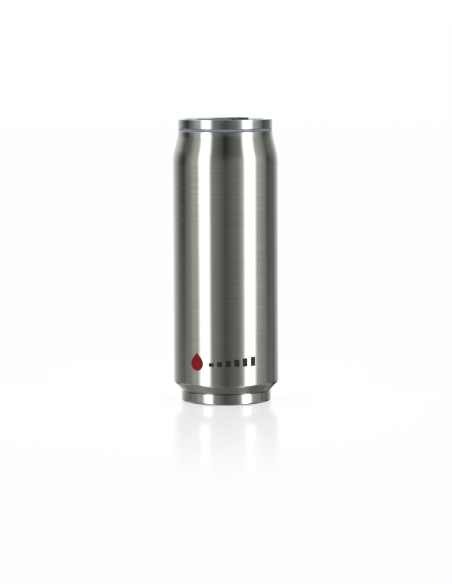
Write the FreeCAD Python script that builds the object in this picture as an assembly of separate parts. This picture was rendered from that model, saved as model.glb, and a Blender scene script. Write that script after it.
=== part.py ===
import FreeCAD, Part
import math
import os

# A reusable double-walled steel drink bottle in the shape of a drink can, shut.
# Sizes are in millimetres. +Z is up, and the origin is the centre of the foot, on the table.
# The bottle is turned work: a steel shell on a pressed steel foot, a silicone seal, and a lid
# that is a steel ring round a plastic deck. On the deck, as on a drink can, lie a pull tab and
# the stopper of the mouth. They are made with the tab along +X and then turned into place.

Vector = FreeCAD.Vector

# --- Driving sizes: steel shell ------------------------------------------------------------
HEIGHT = 187.6             # table to the crest of the lid's ring
BODY_RADIUS = 35.0         # straight wall
NECK_INSET = 3.5           # step in from the wall to the neck
NECK_LAND = 2.5            # neck above the shoulder's upper corner
SHOULDER_RUN = 14.55       # height of the slope between the shoulder's two corners
SHOULDER_BLEND = 35.0      # arc from wall into slope
NECK_BLEND = 14.0          # arc from slope into neck
NECK_EDGE = 0.4            # rounding of the neck's rim
CHAMFER_INSET = 4.9        # bevel under the wall, across
CHAMFER_RISE = 5.2         # and up
CHAMFER_BLEND = 2.0        # rounding between bevel and wall

# --- Driving sizes: foot -------------------------------------------------------------------
FOOT_HEIGHT = 7.7          # table to the underside of the shell
FOOT_INSET = 5.1           # step in from the wall to the foot
GROOVE_HEIGHT = 0.6        # dark joint line between foot and shell
GROOVE_DEPTH = 1.2
FOOT_TOP_EDGE = 0.3
FOOT_LOW_EDGE = 1.3
FOOT_LAND = 1.6            # flat ring that stands on the table
RECESS_EDGE = 0.8          # rounding into the hollow underside
RECESS_RISE = 2.4          # depth of the hollow underside
RECESS_SLOPE = 1.8         # how far its wall leans in
RECESS_BLEND = 1.5
DIMPLE_RADIUS = 6.5        # sealing dimple in the middle of the underside
DIMPLE_RISE = 0.8
DIMPLE_SLOPE = 1.2

# --- Driving sizes: seal and lid ring ------------------------------------------------------
SEAL_HEIGHT = 1.7
SEAL_INSET = 0.45          # step in from the neck
SEAL_WIDTH = 3.5
SEAL_ROUND = 0.6
LID_HEIGHT = 6.2           # seal to the crest of the ring
RING_INSET = 0.1           # step in from the neck
RING_WALL = 2.3
RING_LIP = 1.6             # rounding of the crest towards the deck
RING_RIM = 0.5             # and outside
RING_EDGE = 0.3            # rounding above the seal

# --- Driving sizes: plastic deck -----------------------------------------------------------
FIT = 0.1                  # clearance round a piece that is fitted into another
DECK_SINK = 3.2            # crest of the ring to the deck
GUTTER_WIDTH = 2.1         # channel between the deck and the ring
GUTTER_DEPTH = 1.4
GUTTER_ROUND = 0.7
SCOOP_RADIUS = 9.5         # room for a fingertip under the tab
SCOOP_DEPTH = 2.0
SCOOP_SHIFT = 1.5          # towards the rim, from the middle of the tab's opening
COLLAR_GAP = 0.4           # between stopper and the low collar round it
COLLAR_WALL = 1.0
COLLAR_HEIGHT = 0.6

# --- Driving sizes: pull tab and its pin ---------------------------------------------------
LID_TURN = 57.0            # degrees from +X to the tab's finger end
TAB_LENGTH = 27.8
TAB_NOSE_RADIUS = 7.0
TAB_END_RADIUS = 8.0
TAB_RIM_GAP = 5.0          # between the tab's finger end and the gutter
TAB_LIFT = 0.8             # gap under the tab
TAB_PROUD = 0.4            # the tab's top above the crest of the ring
TAB_EDGE = 0.7
HOLE_RADIUS = 4.4
HOLE_SPAN = 3.5            # between the centres of the opening's two round ends
HOLE_RIM = 3.1             # material between the opening and the finger end
GRIP_RADIUS = 0.5
GRIP_DEPTH = 0.4
GRIP_LENGTH = 8.0
GRIP_PITCH = 2.2
GRIP_COUNT = 3
PIN_RADIUS = 0.75
PIN_HEIGHT = 1.9           # its axis above the deck
PIN_HEAD_RADIUS = 1.15
PIN_HEAD_HEIGHT = 0.9
PIN_HEAD_EDGE = 0.5
BOSS_WALL = 0.85           # material of the tab round the pin
EAR_GAP = 0.4              # between the nose and each ear
EAR_WALL = 1.5             # thickness of an ear
EAR_FOOT = 5.0             # its length on the deck
EAR_HEAD = 3.6             # and at its top
EAR_ROUND = 1.2
EAR_COVER = 0.8            # material above the pin

# --- Driving sizes: stopper of the mouth ---------------------------------------------------
STOPPER_WIDTH = 25.0
STOPPER_RIM_GAP = 3.0      # between the stopper and the gutter
STOPPER_PROUD = 0.2        # the stopper's top above the crest of the ring
STOPPER_EDGE = 0.6
STOPPER_DISH_RADIUS = 8.0
STOPPER_DISH_DEPTH = 0.4
NOSE_LAP = 2.0             # how far the stopper reaches under the nose
NOSE_GAP = 0.5             # between the nose and the notch for it
NOSE_REST = 0.2            # between the nose and the floor of the notch

# --- Heights and radii that follow from them -----------------------------------------------
lid_z = HEIGHT - LID_HEIGHT
neck_z = lid_z - SEAL_HEIGHT
deck_z = HEIGHT - DECK_SINK
gutter_z = deck_z - GUTTER_DEPTH
foot_radius = BODY_RADIUS - FOOT_INSET
neck_radius = BODY_RADIUS - NECK_INSET
seal_radius = neck_radius - SEAL_INSET
core_radius = seal_radius - SEAL_WIDTH
ring_radius = neck_radius - RING_INSET
ring_bore = ring_radius - RING_WALL
gutter_radius = ring_bore - GUTTER_WIDTH

# --- Places along the tab's axis, from the middle of the lid -------------------------------
tab_tip_u = gutter_radius - TAB_RIM_GAP
tab_end_u = tab_tip_u - TAB_END_RADIUS
nose_tip_u = tab_tip_u - TAB_LENGTH
nose_u = nose_tip_u + TAB_NOSE_RADIUS
hole_far_u = tab_tip_u - HOLE_RIM - HOLE_RADIUS
hole_near_u = hole_far_u - HOLE_SPAN
hole_u = (hole_far_u + hole_near_u) / 2
tab_low_z = deck_z + TAB_LIFT
tab_top_z = HEIGHT + TAB_PROUD
pin_z = deck_z + PIN_HEIGHT
ear_inner_v = TAB_NOSE_RADIUS + EAR_GAP
ear_outer_v = ear_inner_v + EAR_WALL
stopper_top_z = HEIGHT + STOPPER_PROUD
stopper_far_u = STOPPER_RIM_GAP - gutter_radius
stopper_near_u = nose_tip_u + NOSE_LAP
stopper_u = (stopper_far_u + stopper_near_u) / 2
stopper_half_length = (stopper_near_u - stopper_far_u) / 2

SHARP = 0.0
TINY = 1e-6


# --- Outlines ------------------------------------------------------------------------------
def rounding_reaches(corners, points):
    """How far from each corner its rounding starts: less than asked where a side is too short."""
    count = len(points)
    asked = []
    for i, (_, _, radius) in enumerate(corners):
        back = points[i - 1] - points[i]
        ahead = points[(i + 1) % count] - points[i]
        asked.append(radius / math.tan(back.getAngle(ahead) / 2))
    reaches = list(asked)
    for i in range(count):
        following = (i + 1) % count
        room = (points[following] - points[i]).Length
        share = min(1.0, room / max(asked[i] + asked[following], TINY))
        reaches[i] = min(reaches[i], asked[i] * share)
        reaches[following] = min(reaches[following], asked[following] * share)
    return reaches


def rounded_wire(corners, place):
    """A closed wire through corners (x, y, radius), each rounded by an arc tangent to both sides."""
    points = [Vector(x, y, 0) for x, y, _ in corners]
    stops = []
    for i, reach in enumerate(rounding_reaches(corners, points)):
        corner = points[i]
        if reach < TINY:
            stops.append((corner, None, corner))
            continue
        back = (points[i - 1] - corner).normalize()
        ahead = (points[(i + 1) % len(points)] - corner).normalize()
        half = back.getAngle(ahead) / 2
        inward = (back + ahead).normalize()
        crown = corner + inward * reach * (1 - math.sin(half)) / math.cos(half)
        stops.append((corner + back * reach, crown, corner + ahead * reach))
    edges = []
    for i, (start, crown, end) in enumerate(stops):
        before = stops[i - 1][2]
        if (start - before).Length > TINY:
            edges.append(Part.LineSegment(place(before), place(start)).toShape())
        if crown is not None:
            edges.append(Part.Arc(place(start), place(crown), place(end)).toShape())
    return Part.Wire(edges)


def turned_solid(corners):
    """A solid of revolution about Z from a profile of (radius, height, rounding)."""
    profile = Part.Face(rounded_wire(corners, lambda p: Vector(p.x, 0, p.y)))
    return profile.revolve(Vector(0, 0, 0), Vector(0, 0, 1), 360)


def prism(wire, height):
    return Part.Face(wire).extrude(Vector(0, 0, height))


def capsule(near_u, near_radius, far_u, far_radius, low_z, top_z):
    """A prism along the tab's axis: two round ends of their own radii, joined by tangent sides."""
    lean = math.asin((near_radius - far_radius) / (far_u - near_u))
    side = Vector(math.sin(lean), math.cos(lean), 0)
    mirrored = Vector(side.x, -side.y, 0)
    near = Vector(near_u, 0, low_z)
    far = Vector(far_u, 0, low_z)
    near_left = near + side * near_radius
    near_right = near + mirrored * near_radius
    far_left = far + side * far_radius
    far_right = far + mirrored * far_radius
    outline = (
        Part.Arc(near_right, near - Vector(near_radius, 0, 0), near_left),
        Part.LineSegment(near_left, far_left),
        Part.Arc(far_left, far + Vector(far_radius, 0, 0), far_right),
        Part.LineSegment(far_right, near_right),
    )
    wire = Part.Wire([curve.toShape() for curve in outline])
    return prism(wire, top_z - low_z)


def oval(grow, low_z, top_z):
    """A prism on the stopper's elliptical outline, made larger all round by grow."""
    centre = Vector(stopper_u, 0, low_z)
    along = Vector(stopper_half_length + grow, 0, 0)
    across = Vector(0, STOPPER_WIDTH / 2 + grow, 0)
    major, minor = sorted((along, across), key=lambda axis: axis.Length, reverse=True)
    ellipse = Part.Ellipse(centre + major, centre + minor, centre)
    return prism(Part.Wire(ellipse.toShape()), top_z - low_z)


def bowl(u, radius, depth, rim_z):
    """The ball that cuts a shallow round hollow of that radius and depth into a level face."""
    ball = (radius**2 + depth**2) / (2 * depth)
    return Part.makeSphere(ball, Vector(u, 0, rim_z - depth + ball))


def crossbar(radius, u, z, low_v, high_v):
    """A round bar across the tab's axis."""
    return Part.makeCylinder(radius, high_v - low_v, Vector(u, low_v, z), Vector(0, 1, 0))


def level_edges(shape, heights):
    """The edges of a shape that lie wholly at one of the heights."""
    flat = [edge for edge in shape.Edges if edge.BoundBox.ZLength < TINY]
    return [edge for edge in flat if min(abs(edge.BoundBox.ZMin - z) for z in heights) < TINY]


def on_lid(shape):
    """Turns a piece of the lid from the +X axis to where it lies."""
    return shape.removeSplitter().rotate(Vector(0, 0, 0), Vector(0, 0, 1), LID_TURN)


# --- Steel pieces --------------------------------------------------------------------------
def shell():
    """The wall, with a bevel below and a soft shoulder up to the neck. It is shut, so solid."""
    neck_corner_z = neck_z - NECK_LAND
    wall_corner_z = neck_corner_z - SHOULDER_RUN
    return turned_solid(
        [
            (0, FOOT_HEIGHT, SHARP),
            (BODY_RADIUS - CHAMFER_INSET, FOOT_HEIGHT, SHARP),
            (BODY_RADIUS, FOOT_HEIGHT + CHAMFER_RISE, CHAMFER_BLEND),
            (BODY_RADIUS, wall_corner_z, SHOULDER_BLEND),
            (neck_radius, neck_corner_z, NECK_BLEND),
            (neck_radius, neck_z, NECK_EDGE),
            (0, neck_z, SHARP),
        ]
    )


def base_cup():
    """The pressed foot: a ring to stand on, a hollow underside with a dimple, a groove on top."""
    groove_z = FOOT_HEIGHT - GROOVE_HEIGHT
    recess_radius = foot_radius - FOOT_LOW_EDGE - FOOT_LAND - RECESS_EDGE
    plate_radius = recess_radius - RECESS_SLOPE
    return turned_solid(
        [
            (0, RECESS_RISE + DIMPLE_RISE, SHARP),
            (DIMPLE_RADIUS - DIMPLE_SLOPE, RECESS_RISE + DIMPLE_RISE, DIMPLE_RISE),
            (DIMPLE_RADIUS, RECESS_RISE, DIMPLE_RISE),
            (plate_radius, RECESS_RISE, RECESS_BLEND),
            (recess_radius, 0, RECESS_EDGE),
            (foot_radius, 0, FOOT_LOW_EDGE),
            (foot_radius, groove_z, FOOT_TOP_EDGE),
            (foot_radius - GROOVE_DEPTH, groove_z, SHARP),
            (foot_radius - GROOVE_DEPTH, FOOT_HEIGHT, SHARP),
            (0, FOOT_HEIGHT, SHARP),
        ]
    )


def lid_ring():
    """The steel ring of the lid, with a round lip like the seam of a drink can."""
    return turned_solid(
        [
            (ring_bore, lid_z, SHARP),
            (ring_radius, lid_z, RING_EDGE),
            (ring_radius, HEIGHT, RING_RIM),
            (ring_bore, HEIGHT, RING_LIP),
        ]
    )


# --- Seal ----------------------------------------------------------------------------------
def seal_band():
    """The silicone bead that shows as a line between neck and lid."""
    return turned_solid(
        [
            (core_radius, neck_z, SHARP),
            (seal_radius, neck_z, SEAL_ROUND),
            (seal_radius, lid_z, SEAL_ROUND),
            (core_radius, lid_z, SHARP),
        ]
    )


# --- Plastic deck of the lid ---------------------------------------------------------------
def deck_plate():
    """The turned body of the deck: a core through the seal, a flange inside the ring, and a gutter."""
    return turned_solid(
        [
            (0, neck_z, SHARP),
            (core_radius - FIT, neck_z, SHARP),
            (core_radius - FIT, lid_z, SHARP),
            (ring_bore - FIT, lid_z, SHARP),
            (ring_bore - FIT, gutter_z, SHARP),
            (gutter_radius, gutter_z, GUTTER_ROUND),
            (gutter_radius, deck_z, GUTTER_ROUND),
            (0, deck_z, SHARP),
        ]
    )


def ear(side):
    """One of the two ears that hold the tab's pin; side is +1 or -1."""
    top_z = pin_z + PIN_RADIUS + EAR_COVER
    corners = [
        (nose_u - EAR_FOOT / 2, deck_z, SHARP),
        (nose_u + EAR_FOOT / 2, deck_z, SHARP),
        (nose_u + EAR_HEAD / 2, top_z, EAR_ROUND),
        (nose_u - EAR_HEAD / 2, top_z, EAR_ROUND),
    ]
    face = Part.Face(rounded_wire(corners, lambda p: Vector(p.x, side * ear_inner_v, p.y)))
    return face.extrude(Vector(0, side * EAR_WALL, 0))


def lid_deck():
    """The deck, with a low collar round the stopper, ears for the pin and a scoop for a fingertip."""
    collar_top_z = deck_z + COLLAR_HEIGHT
    collar_inside = oval(COLLAR_GAP, deck_z, collar_top_z)
    collar = oval(COLLAR_GAP + COLLAR_WALL, deck_z, collar_top_z).cut(collar_inside)
    deck = deck_plate().cut(bowl(hole_u + SCOOP_SHIFT, SCOOP_RADIUS, SCOOP_DEPTH, deck_z))
    deck = deck.fuse([collar, ear(1), ear(-1)])
    pin_bore = crossbar(PIN_RADIUS + FIT, nose_u, pin_z, -ear_outer_v, ear_outer_v)
    return on_lid(deck.cut(pin_bore))


# --- Tab, pin and stopper ------------------------------------------------------------------
def pull_tab():
    """The tab: a plate with a finger opening, a boss for the pin under its nose, and grip lines."""
    plate = capsule(nose_u, TAB_NOSE_RADIUS, tab_end_u, TAB_END_RADIUS, tab_low_z, tab_top_z)
    opening = capsule(hole_near_u, HOLE_RADIUS, hole_far_u, HOLE_RADIUS, tab_low_z, tab_top_z)
    plate = plate.cut(opening)
    plate = plate.makeFillet(TAB_EDGE, level_edges(plate, (tab_low_z, tab_top_z)))
    boss_v = TAB_NOSE_RADIUS - TAB_EDGE
    tab = plate.fuse(crossbar(PIN_RADIUS + BOSS_WALL, nose_u, pin_z, -boss_v, boss_v))
    tab = tab.cut(crossbar(PIN_RADIUS + FIT, nose_u, pin_z, -ear_inner_v, ear_inner_v))
    grip_z = tab_top_z - GRIP_DEPTH + GRIP_RADIUS
    for i in range(GRIP_COUNT):
        grip_u = nose_u + GRIP_PITCH * (i - (GRIP_COUNT - 1) / 2)
        tab = tab.cut(crossbar(GRIP_RADIUS, grip_u, grip_z, -GRIP_LENGTH / 2, GRIP_LENGTH / 2))
    return on_lid(tab)


def hinge_pin():
    """The headed steel pin through the ears and the nose of the tab."""
    shank = crossbar(PIN_RADIUS, nose_u, pin_z, -ear_outer_v, ear_outer_v)
    head_v = ear_outer_v + PIN_HEAD_HEIGHT
    head = crossbar(PIN_HEAD_RADIUS, nose_u, pin_z, ear_outer_v, head_v)
    rim = [edge for edge in head.Edges if abs(edge.BoundBox.YMin - head_v) < TINY]
    return on_lid(shank.fuse(head.makeFillet(PIN_HEAD_EDGE, rim)))


def mouth_stopper():
    """The oval stopper over the mouth, dished on top and notched for the nose of the tab."""
    stopper = oval(0, deck_z, stopper_top_z)
    stopper = stopper.makeFillet(STOPPER_EDGE, level_edges(stopper, (stopper_top_z,)))
    stopper = stopper.cut(bowl(stopper_u, STOPPER_DISH_RADIUS, STOPPER_DISH_DEPTH, stopper_top_z))
    notch_z = tab_low_z - NOSE_REST
    notch = capsule(
        nose_u,
        TAB_NOSE_RADIUS + NOSE_GAP,
        tab_end_u,
        TAB_END_RADIUS + NOSE_GAP,
        notch_z,
        tab_top_z,
    )
    return on_lid(stopper.cut(notch))


PIECES = (shell, base_cup, seal_band, lid_ring, lid_deck, pull_tab, hinge_pin, mouth_stopper)

os.makedirs("parts", exist_ok=True)
for piece in PIECES:
    shape = piece()
    shape.exportStep(f"parts/{piece.__name__}.step")
    print(f"{piece.__name__}: {len(shape.Solids)} solid, {shape.Volume:.1f} mm3, valid {shape.isValid()}")
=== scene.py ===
# %% [markdown]
# # A steel drink bottle in the shape of a drink can
# The real thing is an insulated bottle: a brushed stainless shell that copies the outline of a
# drink can, a pressed steel foot, a thin silicone seal, and a lid made of a steel ring round a
# plastic deck. On the deck lie a pull tab and the stopper of the mouth.
# The solid pieces come from the CAD frame and keep their meshes. This script gives them their
# finishes, adds the small print on the wall, and sets up the table, the light and the camera.

# %% Load the frame
import math

import bmesh
import bpy
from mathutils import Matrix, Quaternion, Vector


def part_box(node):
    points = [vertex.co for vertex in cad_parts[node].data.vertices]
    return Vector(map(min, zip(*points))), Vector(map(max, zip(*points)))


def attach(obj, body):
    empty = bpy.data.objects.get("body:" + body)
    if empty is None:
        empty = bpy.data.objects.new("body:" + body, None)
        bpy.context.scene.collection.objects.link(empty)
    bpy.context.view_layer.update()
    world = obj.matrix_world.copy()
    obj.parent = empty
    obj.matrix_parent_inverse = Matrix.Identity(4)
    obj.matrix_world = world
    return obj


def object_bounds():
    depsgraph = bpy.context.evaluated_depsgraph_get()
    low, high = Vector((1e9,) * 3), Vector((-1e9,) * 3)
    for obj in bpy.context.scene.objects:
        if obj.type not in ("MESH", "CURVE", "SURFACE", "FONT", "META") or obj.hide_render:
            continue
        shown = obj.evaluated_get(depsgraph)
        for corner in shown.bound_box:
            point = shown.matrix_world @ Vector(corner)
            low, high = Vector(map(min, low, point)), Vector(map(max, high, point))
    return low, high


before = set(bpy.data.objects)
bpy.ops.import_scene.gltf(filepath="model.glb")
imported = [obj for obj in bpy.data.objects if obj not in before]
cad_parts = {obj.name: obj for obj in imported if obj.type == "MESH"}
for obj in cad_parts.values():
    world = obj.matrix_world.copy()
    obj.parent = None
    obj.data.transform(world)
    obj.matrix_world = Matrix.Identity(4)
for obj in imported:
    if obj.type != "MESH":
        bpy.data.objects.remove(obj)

cad_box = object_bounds()
print("nodes:", ", ".join(sorted(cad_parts)))

# %% [markdown]
# ## Sizes from the frame
# Everything that is added later has to fit the solids, so its sizes are read from them. The
# shell's box gives the radius of the wall, and the foot's box says where the wall begins.

# %% Measure the solids
MM = 0.001


def size_of(node):
    low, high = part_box(node)
    return high - low


wall_radius = size_of("shell").x / 2
total_height = (cad_box[1] - cad_box[0]).z
foot_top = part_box("base_cup")[1].z
print(f"wall radius {wall_radius / MM:.1f} mm, height {total_height / MM:.1f} mm")

# %% [markdown]
# ## Shader maths as Python
# A finish is a small calculation: take a place on the surface, make some noise, turn it into a
# colour or a roughness. In the node editor that is a chain of Math nodes. Written out, a chain
# is hard to read, so one small class stands for the output of a node. Adding or multiplying two
# of them adds the Math node and returns its output, and any other node comes from `node`.

# %% A wire that can be added and multiplied
class Wire:
    """One output of a node, which can be used in sums, differences and products."""

    def __init__(self, graph, socket):
        self.graph = graph
        self.socket = socket

    def __add__(self, other):
        return self.graph.math("ADD", self, other)

    def __radd__(self, other):
        return self.graph.math("ADD", other, self)

    def __sub__(self, other):
        return self.graph.math("SUBTRACT", self, other)

    def __rsub__(self, other):
        return self.graph.math("SUBTRACT", other, self)

    def __mul__(self, other):
        return self.graph.math("MULTIPLY", self, other)

    def __rmul__(self, other):
        return self.graph.math("MULTIPLY", other, self)


class Graph:
    """The nodes of one material or of the world."""

    def __init__(self, owner):
        owner.use_nodes = True
        self.tree = owner.node_tree
        self.tree.nodes.clear()

    def node(self, kind, settings=None, sockets=None, output=0):
        """Adds a node, sets its settings, feeds its sockets and returns one of its outputs."""
        made = self.tree.nodes.new(kind)
        for name, value in (settings or {}).items():
            if name == "stops":
                self.set_stops(made.color_ramp, value)
            else:
                setattr(made, name, value)
        for name, value in (sockets or {}).items():
            if isinstance(value, Wire):
                self.tree.links.new(value.socket, made.inputs[name])
            else:
                made.inputs[name].default_value = value
        return Wire(self, made.outputs[output]) if made.outputs else made

    @staticmethod
    def set_stops(ramp, stops):
        while len(ramp.elements) < len(stops):
            ramp.elements.new(1.0)
        for element, (place, grey) in zip(ramp.elements, stops):
            element.position = place
            element.color = (grey, grey, grey, 1.0)

    def math(self, operation, *values):
        return self.node("ShaderNodeMath", {"operation": operation}, dict(enumerate(values)))

    def ease(self, value, start, end, low=0.0, high=1.0):
        """Goes smoothly from low to high while the value goes from start to end."""
        sockets = {"Value": value, "From Min": start, "From Max": end}
        sockets.update({"To Min": low, "To Max": high})
        return self.node("ShaderNodeMapRange", {"interpolation_type": "SMOOTHSTEP"}, sockets)

    def straight(self, value, start, end):
        """Goes evenly from 0 to 1 while the value goes from start to end."""
        sockets = {"Value": value, "From Min": start, "From Max": end}
        return self.node("ShaderNodeMapRange", None, sockets)

    def mix(self, factor, first, second):
        """A number between two numbers."""
        return self.node("ShaderNodeMix", {"data_type": "FLOAT"}, {0: factor, 2: first, 3: second})

    def blend(self, factor, first, second):
        """A colour between two colours."""
        sockets = {0: factor, 6: first, 7: second}
        return self.node("ShaderNodeMix", {"data_type": "RGBA"}, sockets, 2)

    def xyz(self, vector):
        parts = self.node("ShaderNodeSeparateXYZ", None, {0: vector})
        outputs = parts.socket.node.outputs
        return [Wire(self, outputs[axis]) for axis in "XYZ"]


# %% [markdown]
# ## The studio light
# Polished metal has hardly any look of its own: it shows the room. A bottle like this is lit in
# a studio with two tall strip lights, one at each side in front, dark cards between and beyond
# them, and a white backdrop behind. Real lamps and cards would stand in the way of a camera that
# moves round the object, so the room is painted on the sky instead, as a brightness for each
# direction. Azimuth 0 is the front, and degrees count to the right.
# Bands lie above each other, and each has its own ramp round the room: what stands at table
# height, what is higher up, what is near the table, and what is above head height. The table
# itself is counted from straight down. The wall, the slope of the neck and the bevel each mirror
# another band, so each of them can be lit by itself.
# The room is dark in front, which suits the metal but would leave ink and silicone at half their
# colour. So rays that come from a matt surface see an even fill as well, and rays that come from
# the metal don't. With it a matt colour renders about as it is written.

# %% Paint the room on the sky
ROOM = (  # degrees round from the front, brightness of the room at table height
    (-180, 1.3), (-145, 0.7), (-118, 0.1), (-103, 0), (-85, 0.3), (-73, 0.6), (-28, 0.3),
    (0, 0.1), (28, 0.3), (36, 0.6), (78, 0.6), (105, 0.05), (130, 0.2), (150, 0.65), (180, 1.3),
)
SKY = (  # brightness higher up
    (-180, 1.3), (-150, 1.8), (-115, 0.2), (-92, 0.1), (-70, 0.5), (-27, 0.2), (0, 0),
    (27, 0.15), (70, 0.5), (110, 0.15), (135, 0.4), (180, 1.3),
)
SKY_EDGE = (4.0, 20.0)  # degrees above level between which this band takes over
LOW = (  # brightness near the table
    (-180, 1.3), (-140, 0), (-118, 0.5), (-98, 0.55), (-84, 0.1), (-28, 0.3), (-10, 0.1),
    (26, 0), (52, 0.3), (84, 0), (100, 0.45), (118, 0.4), (132, 0), (165, 0), (180, 1.3),
)
LOW_EDGE = (-5.0, -17.0)
TOP = (  # brightness above head height
    (-180, 0.5), (-150, 0.85), (-125, 1.7), (-70, 1.5), (-40, 0.25), (0, 0.12),
    (40, 0.25), (70, 1.5), (125, 1.7), (150, 0.85), (180, 0.5),
)
TOP_EDGE = (28.0, 42.0)
ZENITH_EDGE = (62.0, 80.0)
ZENITH_LIGHT = 0.6
TABLE = (  # degrees from straight down, left or right, brightness of what lies below
    (-90, 0.4), (-59, 0.4), (-50, 0.2), (-28, 0.35), (-15, 0.17), (15, 0.15), (22, 0.33),
    (32, 0.15), (50, 0.15), (60, 0.3), (90, 0.3),
)
TABLE_EDGE = (-20.0, -32.0)
NEAR_TABLE = (  # degrees round from the front, brightness of the table before the bottle
    (-180, 0.3), (-75, 0.35), (-64, 0.4), (-55, 1.2), (-43, 1.2), (-34, 0.2), (0, 0.07),
    (36, 0.2), (47, 1.2), (61, 1.2), (71, 0.4), (80, 0.35), (180, 0.3),
)
NEAR_EDGE = (-26.0, -46.0)
NEAR_SIDE = (0.2, 0.45)  # how far forward a direction has to point
STRIPS = ((-37.9, -58.0, 11.0), (45.2, 66.2, 6.0))  # inner, outer edge, drawn in below
STRIP_LIGHT = 3.4
STRIP_SOFTNESS = 9.0  # half the width of a strip's soft edge
STRIP_TOP = (42.0, 30.0)  # dark above the first height, lit below the second
WHITE = (1, 1, 1, 1)
FILL_LIGHT = 0.8  # for matt surfaces only
FILL_TOP = (55.0, 35.0)
HALF_TURN = 180.0
FULL_TURN = 360.0


def ramp(g, degrees, span, levels):
    """A brightness that depends on an angle, which runs over a span centred on zero."""
    stops = [(angle / span + 0.5, light) for angle, light in levels]
    return g.node("ShaderNodeValToRGB", {"stops": stops}, {0: degrees * (1 / span) + 0.5})


def strip(g, away, near, far):
    """1 between two angles from the front and 0 outside them, with soft edges."""
    entered = g.ease(away, near - STRIP_SOFTNESS, near + STRIP_SOFTNESS)
    passed = g.ease(away - far, -STRIP_SOFTNESS, STRIP_SOFTNESS)
    return entered * (1 - passed)


def studio():
    world = bpy.data.worlds.new("studio")
    bpy.context.scene.world = world
    g = Graph(world)
    x, y, z = g.xyz(g.node("ShaderNodeTexCoord", None, None, "Generated"))
    azimuth = g.math("ARCTAN2", x, 0 - y) * (FULL_TURN / math.tau)
    height = g.math("ARCSINE", z) * (FULL_TURN / math.tau)
    light = ramp(g, azimuth, FULL_TURN, ROOM)
    light = g.mix(g.ease(height, *SKY_EDGE), light, ramp(g, azimuth, FULL_TURN, SKY))
    lower = g.straight(height, *LOW_EDGE)
    light = g.mix(lower, light, ramp(g, azimuth, FULL_TURN, LOW))
    light = g.mix(g.ease(height, *TOP_EDGE), light, ramp(g, azimuth, FULL_TURN, TOP))
    light = g.mix(g.ease(height, *ZENITH_EDGE), light, ZENITH_LIGHT)
    for inner, outer, taper in STRIPS:
        far = abs(outer) - lower * taper
        away = azimuth * math.copysign(1, inner)
        light = light + strip(g, away, abs(inner), far) * g.ease(height, *STRIP_TOP) * STRIP_LIGHT
    from_below = (height + HALF_TURN / 2) * g.math("SIGN", x)
    below = ramp(g, from_below, HALF_TURN, TABLE)
    light = g.mix(g.ease(height, *TABLE_EDGE), light, below)
    near_table = g.ease(height, *NEAR_EDGE) * g.ease(0 - y, *NEAR_SIDE)
    light = g.mix(near_table, light, ramp(g, azimuth, FULL_TURN, NEAR_TABLE))
    matt = g.node("ShaderNodeLightPath", None, None, "Is Diffuse Ray")
    light = light + matt * g.ease(height, *FILL_TOP) * FILL_LIGHT
    seen = g.node("ShaderNodeLightPath", None, None, "Is Camera Ray")
    light = g.mix(seen, light, 1.0)
    lit_world = g.node("ShaderNodeBackground", None, {"Color": WHITE, "Strength": light})
    g.node("ShaderNodeOutputWorld", None, {"Surface": lit_world})
    return world


studio()
view = bpy.context.scene.view_settings
view.view_transform = "Standard"
print("strip lights at", STRIPS, "degrees")

# %% [markdown]
# ## The table
# The bottle stands on a white table with a slight polish, which mirrors its foot and fades out
# with distance. A large disc is enough. The metal doesn't see it, because its wall looks down
# at the table at a low angle all the way up and would turn plain white: `visible_glossy` off
# leaves the painted room there instead.

# %% Make the table
TABLE_RADIUS = 6.0
TABLE_SIDES = 96
GLOW = 0.786
PAINT = 0.17
POLISH = 0.17
POLISH_BLUR = 0.12
POLISH_FROM = 30 * MM
POLISH_TO = 340 * MM


def table():
    mesh = bpy.data.meshes.new("table")
    shape = bmesh.new()
    bmesh.ops.create_circle(shape, cap_ends=True, segments=TABLE_SIDES, radius=TABLE_RADIUS)
    shape.to_mesh(mesh)
    shape.free()
    piece = bpy.data.objects.new("table", mesh)
    bpy.context.scene.collection.objects.link(piece)
    piece.visible_glossy = False
    mesh.materials.append(table_finish())
    return piece


def table_finish():
    material = bpy.data.materials.new("table_white")
    g = Graph(material)
    place = g.node("ShaderNodeTexCoord", None, None, "Object")
    distance = g.node("ShaderNodeVectorMath", {"operation": "LENGTH"}, {0: place}, "Value")
    seen = g.node("ShaderNodeLightPath", None, None, "Is Camera Ray")
    glow = g.node("ShaderNodeEmission", None, {"Color": WHITE, "Strength": seen * GLOW})
    paint = g.node("ShaderNodeBsdfDiffuse", None, {"Color": (PAINT, PAINT, PAINT, 1)})
    lit = g.node("ShaderNodeAddShader", None, {0: glow, 1: paint})
    mirror = g.node("ShaderNodeBsdfAnisotropic", None, {"Color": WHITE, "Roughness": POLISH_BLUR})
    polish = g.ease(distance, POLISH_FROM, POLISH_TO, POLISH, 0.0)
    surface = g.node("ShaderNodeMixShader", None, {0: polish, 1: lit, 2: mirror})
    g.node("ShaderNodeOutputMaterial", None, {"Surface": surface})
    return material


table()

# %% [markdown]
# ## The camera
# A long lens from a little over one and a half metres, just above the lid, keeps the wall's
# sides nearly parallel and shows only a sliver of the lid's top.

# %% Place the camera
CAMERA_DISTANCE = 1.640
CAMERA_HEIGHT = 0.2335
AIM = Vector((0.15 * MM, 0, 72.3 * MM))
LENS = 152.4
SENSOR = 36.0
ROLL = math.radians(-0.2)


def camera():
    data = bpy.data.cameras.new("camera")
    data.lens = LENS
    data.sensor_width = SENSOR
    piece = bpy.data.objects.new("camera", data)
    bpy.context.scene.collection.objects.link(piece)
    piece.location = Vector((AIM.x, -CAMERA_DISTANCE, CAMERA_HEIGHT))
    look = (AIM - piece.location).to_track_quat("-Z", "Y")
    piece.rotation_mode = "QUATERNION"
    piece.rotation_quaternion = look @ Quaternion((0, 0, 1), ROLL)
    bpy.context.scene.camera = piece
    return piece


camera()

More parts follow.
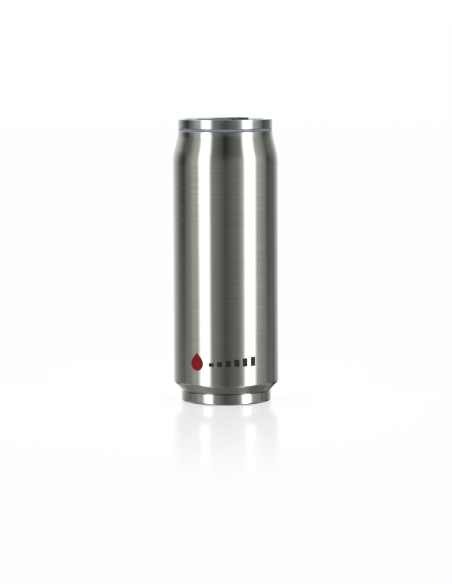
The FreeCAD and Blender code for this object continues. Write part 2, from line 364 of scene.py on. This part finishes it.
# %% [markdown]
# ## Brushed steel
# The steel is brushed while it turns on a lathe, so its scratches run round the axis. They blur
# what the metal mirrors up and down but hardly sideways. The shader's anisotropy does that, and
# fine noise, stretched round the axis, draws the scratches themselves.

# %% Draw the scratches
BRUSH_LENGTH = 22.0  # how fast the noise changes along a scratch
FINE = 3800.0        # and across it
BROAD = 900.0
FINE_SHARE = 0.6
NOISE_RANGE = (0.3, 0.7)  # nearly all of the noise lies between these
SCRATCH_DEPTH = 0.02 * MM
SCRATCH_STRENGTH = 0.05
GLOSS_SWING = 0.04
UP_AND_DOWN = 0.25   # turns the blur from along the scratches to across them
# Painted shade: in a band just under the top of the foot, the steel's colour is darkened to stand
# in for the shade that falls in the groove between the foot and the wall.
GROOVE_SHADE_BAND = 0.6 * MM  # the groove between the foot and the wall
GROOVE_SHADE = 0.45  # how much of its light a narrow groove gives back


def darker(colour, share):
    return tuple(channel * share for channel in colour[:3]) + (1,)


def brushing(g, fineness, detail):
    """Noise in thin rings round the axis: long along the ring, fine across it."""
    x, y, z = g.xyz(g.node("ShaderNodeTexCoord", None, None, "Object"))
    radius = g.math("SQRT", x * x + y * y)
    ring = {"X": x * BRUSH_LENGTH, "Y": y * BRUSH_LENGTH, "Z": z * fineness}
    sockets = {
        "Vector": g.node("ShaderNodeCombineXYZ", None, ring),
        "W": radius * fineness,
        "Scale": 1.0,
        "Detail": detail,
    }
    return g.node("ShaderNodeTexNoise", {"noise_dimensions": "4D"}, sockets)


# %% [markdown]
# ## Rims that shine evenly
# Along a narrow rim the mesh has long thin triangles that lean different ways, and polished
# metal shows each of them as a tooth of light. The mesh stays as it is. A rim is turned, so the
# direction it faces follows from the place alone: away from the middle of its rounding. The
# material works that out and uses it above the rim's foot, and the mesh's own normal below.

# %% Work out the normal of a rim
def rim_normal(g, rim):
    """The normal of a turned rim worked out from the place on it, and the mesh's own below it."""
    radius, top, outside, bore, lip = rim
    place = g.node("ShaderNodeTexCoord", None, None, "Object")
    x, y, z = g.xyz(place)
    reach = g.math("SQRT", x * x + y * y)
    middle = (radius - outside + bore + lip) / 2
    past_outside = g.math("MAXIMUM", reach - (radius - outside), 0)
    past_lip = g.math("MINIMUM", reach - (bore + lip), 0)
    across = past_outside + past_lip
    outer = g.math("GREATER_THAN", reach, middle)
    rise = g.math("MAXIMUM", z - (top - g.mix(outer, lip, outside)), 0)
    share = g.math("DIVIDE", across, reach)
    turned = g.node("ShaderNodeCombineXYZ", None, {"X": x * share, "Y": y * share, "Z": rise})
    own = g.node("ShaderNodeNewGeometry", None, None, "Normal")
    above = g.math("GREATER_THAN", z, top - max(outside * 2, lip))
    chosen = g.node("ShaderNodeMix", {"data_type": "VECTOR"}, {0: above, 4: own, 5: turned}, 1)
    return g.node("ShaderNodeVectorMath", {"operation": "NORMALIZE"}, {0: chosen})


# %% Make the brushed finish
def brushed_steel(name, light, dark, roughness, anisotropy=1.0, rim=None, groove=None):
    material = bpy.data.materials.new(name)
    g = Graph(material)
    fine = brushing(g, FINE, 3.0)
    broad = brushing(g, BROAD, 2.0)
    scratches = fine * FINE_SHARE + broad * (1 - FINE_SHARE)
    colour = g.blend(g.ease(scratches, *NOISE_RANGE), dark, light)
    # Painted shade: inside the groove band the base colour is darkened, in place of the shade that
    # falls in the groove.
    if groove:
        z = g.xyz(g.node("ShaderNodeTexCoord", None, None, "Object"))[2]
        low, high = groove
        in_painted_groove_shade = g.math("GREATER_THAN", z, low) * g.math("LESS_THAN", z, high)
        colour = g.blend(in_painted_groove_shade, colour, darker(dark, GROOVE_SHADE))
    rough = g.ease(scratches, *NOISE_RANGE, roughness + GLOSS_SWING, roughness - GLOSS_SWING)
    relief = {"Strength": SCRATCH_STRENGTH, "Distance": SCRATCH_DEPTH, "Height": scratches}
    if rim:
        relief["Normal"] = rim_normal(g, rim)
    sockets = {
        "Base Color": colour,
        "Metallic": 1.0,
        "Roughness": rough,
        "Anisotropic": anisotropy,
        "Anisotropic Rotation": UP_AND_DOWN,
        "Normal": g.node("ShaderNodeBump", None, relief),
    }
    shader = g.node("ShaderNodeBsdfPrincipled", None, sockets)
    g.node("ShaderNodeOutputMaterial", None, {"Surface": shader})
    return material


def dress(node, material):
    """Gives a CAD piece its finish."""
    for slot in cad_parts[node].material_slots:
        slot.material = material


# roundings and steps of the solids
NECK_EDGE = 0.4 * MM
NECK_INSET = 3.5 * MM
RING_RIM = 0.5 * MM
RING_LIP = 1.6 * MM
RING_WALL = 2.3 * MM
STEEL_ROUGHNESS = 0.16
PIN_ROUGHNESS = 0.3

WARM_STEEL = ((0.64, 0.66, 0.60, 1), (0.58, 0.60, 0.54, 1))
COOL_STEEL = ((0.57, 0.63, 0.65, 1), (0.51, 0.57, 0.59, 1))
ring_radius = size_of("lid_ring").x / 2
neck_rim = (wall_radius - NECK_INSET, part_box("shell")[1].z, NECK_EDGE, 0.0, NECK_EDGE)
crest = (ring_radius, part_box("lid_ring")[1].z, RING_RIM, ring_radius - RING_WALL, RING_LIP)
joint = (foot_top - GROOVE_SHADE_BAND, foot_top)
wall_steel = brushed_steel("wall_steel", *WARM_STEEL, STEEL_ROUGHNESS, rim=neck_rim)
# The foot's steel carries the painted shade of the groove.
foot_steel = brushed_steel("foot_steel", *WARM_STEEL, STEEL_ROUGHNESS, groove=joint)
ring_steel = brushed_steel("ring_steel", *COOL_STEEL, STEEL_ROUGHNESS, rim=crest)
dress("shell", wall_steel)
dress("base_cup", foot_steel)
dress("lid_ring", ring_steel)
print(f"ring radius {ring_radius / MM:.1f} mm, joint groove up to {foot_top / MM:.1f} mm")

# %% [markdown]
# ## Plastic and silicone
# The seal, the deck, the tab and the stopper are moulded. A moulded part has one colour right
# through and the very fine grain of its mould, which breaks up the shine. Noise of a fraction of
# a millimetre does both: it shades the colour a little and feeds the bump.

# %% Make the moulded finishes
GRAIN = 2500.0
GRAIN_DEPTH = 0.05 * MM
GRAIN_STRENGTH = 0.1
SHADE = 0.88  # the darkest part of the grain, as a share of the colour


def moulded(name, colour, roughness, specular):
    material = bpy.data.materials.new(name)
    g = Graph(material)
    place = g.node("ShaderNodeTexCoord", None, None, "Object")
    grain = g.node("ShaderNodeTexNoise", None, {"Vector": place, "Scale": GRAIN, "Detail": 2.0})
    relief = {"Strength": GRAIN_STRENGTH, "Distance": GRAIN_DEPTH, "Height": grain}
    sockets = {
        "Base Color": g.blend(g.ease(grain, *NOISE_RANGE), darker(colour, SHADE), colour),
        "Roughness": roughness,
        "Specular IOR Level": specular,
        "Normal": g.node("ShaderNodeBump", None, relief),
    }
    shader = g.node("ShaderNodeBsdfPrincipled", None, sockets)
    g.node("ShaderNodeOutputMaterial", None, {"Surface": shader})
    return material


MOULDED = (  # piece, finish, colour, roughness, shine
    ("seal_band", "seal_silicone", (0.265, 0.302, 0.332, 1), 0.24, 0.75),
    ("lid_deck", "deck_plastic", (0.033, 0.033, 0.035, 1), 0.5, 0.5),
    ("pull_tab", "tab_plastic", (0.028, 0.028, 0.03, 1), 0.6, 0.3),
    ("mouth_stopper", "stopper_silicone", (0.033, 0.033, 0.033, 1), 0.5, 0.5),
)
for piece, *finish in MOULDED:
    dress(piece, moulded(*finish))
PIN_STEEL = ((0.7, 0.7, 0.7, 1), (0.65, 0.65, 0.65, 1))
dress("hinge_pin", brushed_steel("pin_steel", *PIN_STEEL, PIN_ROUGHNESS, anisotropy=0.0))
print("dressed:", ", ".join(sorted(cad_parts)))

# %% [markdown]
# ## The gauge printed on the wall
# Low on the front a small gauge is printed: a drop, and six bars that rise from left to right.
# Ink is a layer of its own, so each shape is a thin closed plate that hugs the wall. An image
# would blur close up, and a flat shape pressed against the wall would cut into it, so the plate
# is built in columns instead: every column has its angle round the bottle and its two heights.

# %% Build plates that hug the wall
INK_PROUD = 0.03 * MM
INK_SUNK = 0.06 * MM
MERGE = 0.001 * MM  # corners nearer than this become one


def on_wall(angle, height, lift):
    reach = wall_radius + lift
    return Vector((reach * math.sin(angle), -reach * math.cos(angle), height))


def add_plate(shape, columns):
    """Adds a closed plate from its columns, which are (angle, bottom, top)."""
    loops = []
    for angle, bottom, top in columns:
        corners = ((bottom, -INK_SUNK), (top, -INK_SUNK), (top, INK_PROUD), (bottom, INK_PROUD))
        loops.append([shape.verts.new(on_wall(angle, height, lift)) for height, lift in corners])
    for left, right in zip(loops, loops[1:]):
        for k in range(4):
            after = (k + 1) % 4
            shape.faces.new((left[k], left[after], right[after], right[k]))
    shape.faces.new(loops[0])
    shape.faces.new(loops[-1])


def printed(name, plates, material):
    """Makes one piece of ink from several plates."""
    shape = bmesh.new()
    for columns in plates:
        add_plate(shape, columns)
    bmesh.ops.remove_doubles(shape, verts=shape.verts, dist=MERGE)
    bmesh.ops.recalc_face_normals(shape, faces=shape.faces)
    mesh = bpy.data.meshes.new(name)
    shape.to_mesh(mesh)
    shape.free()
    mesh.materials.append(material)
    piece = bpy.data.objects.new(name, mesh)
    bpy.context.scene.collection.objects.link(piece)
    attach(piece, "root")
    print(f"{name}: {len(mesh.polygons)} faces")
    return piece


# %% [markdown]
# ## Ink
# Printed ink is satin and covers the brushing, but it isn't quite even: it is a little thinner
# on the crests of the scratches. Fine noise in its colour shows that.

# %% Mix the inks and print the gauge
INK_ROUGHNESS = 0.5
INK_SHEEN = 0.15


def ink(name, colour):
    material = bpy.data.materials.new(name)
    g = Graph(material)
    cover = brushing(g, FINE, 2.0)
    sockets = {
        "Base Color": g.blend(g.ease(cover, *NOISE_RANGE), darker(colour, SHADE), colour),
        "Roughness": INK_ROUGHNESS,
        "Specular IOR Level": INK_SHEEN,
    }
    shader = g.node("ShaderNodeBsdfPrincipled", None, sockets)
    g.node("ShaderNodeOutputMaterial", None, {"Surface": shader})
    return material


DROP_WIDTH = 9.4 * MM
DROP_HEIGHT = 12.0 * MM
DROP_ANGLE = math.radians(-33.0)
DROP_MIDDLE = 29.3 * MM
DROP_COLUMNS = 48

BAR_COUNT = 6
BAR_WIDTH = 3.4 * MM
BAR_PITCH = math.radians(9.3)
FIRST_BAR = math.radians(-16.2)
BAR_FOOT = 26.4 * MM
SHORTEST_BAR = 2.4 * MM
TALLEST_BAR = 6.2 * MM
BAR_COLUMNS = 6


def drop_columns():
    """A circle whose upper half is drawn up to a point."""
    radius = DROP_WIDTH / 2
    point = DROP_HEIGHT - DROP_WIDTH
    centre = DROP_MIDDLE - DROP_HEIGHT / 2 + radius
    columns = []
    for k in range(DROP_COLUMNS + 1):
        across = -math.cos(math.pi * k / DROP_COLUMNS)  # close together at the ends
        half = radius * math.sqrt(max(0.0, 1 - across * across))
        top = centre + half + point * (1 - abs(across)) ** 2
        columns.append((DROP_ANGLE + across * radius / wall_radius, centre - half, top))
    return columns


def bar_columns(number):
    middle = FIRST_BAR + number * BAR_PITCH
    height = SHORTEST_BAR + (TALLEST_BAR - SHORTEST_BAR) * number / (BAR_COUNT - 1)
    half = BAR_WIDTH / wall_radius / 2
    angles = [middle + half * (2 * k / BAR_COLUMNS - 1) for k in range(BAR_COLUMNS + 1)]
    return [(angle, BAR_FOOT, BAR_FOOT + height) for angle in angles]


printed("print_drop", [drop_columns()], ink("red_ink", (0.24, 0.007, 0.010, 1)))
bars = [bar_columns(number) for number in range(BAR_COUNT)]
printed("print_bars", bars, ink("dark_ink", (0.025, 0.025, 0.027, 1)))
